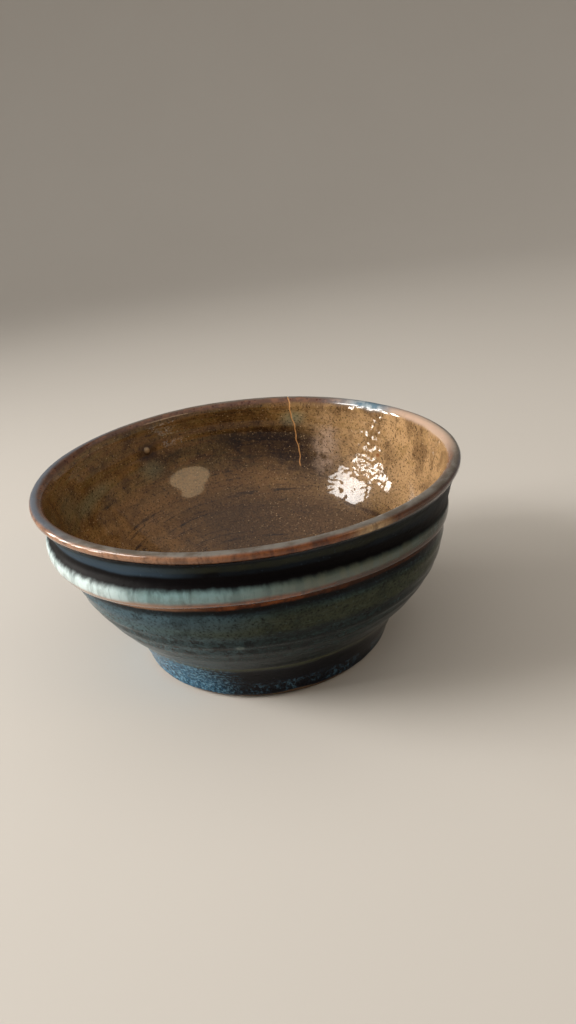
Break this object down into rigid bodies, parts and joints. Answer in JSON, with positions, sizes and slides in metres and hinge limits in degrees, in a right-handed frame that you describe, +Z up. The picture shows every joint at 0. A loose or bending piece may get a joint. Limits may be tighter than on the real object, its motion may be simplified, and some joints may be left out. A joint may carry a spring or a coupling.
{
  "type": "glazed bowl",
  "caption": "Wheel-thrown stoneware bowl with a flared body, a raised ridge, a short collar and a rounded lip, on a trimmed foot.",
  "frame": {"origin": "centre of the bowl's width and depth, on the plane that its foot stands on", "axes": "+Z up through the open mouth; +Y away from the side that the picture shows; +X to the right of that view"},
  "size_m": [0.1518, 0.1482, 0.0724],
  "materials": {
    "glaze": "glossy reduction glaze: slate blue-green bands outside, copper-brown breaks on the lip and ridge, speckled amber-brown inside"
  },
  "bodies": {
    "root": {"bowl": "glaze"}
  },
  "joints": []
}
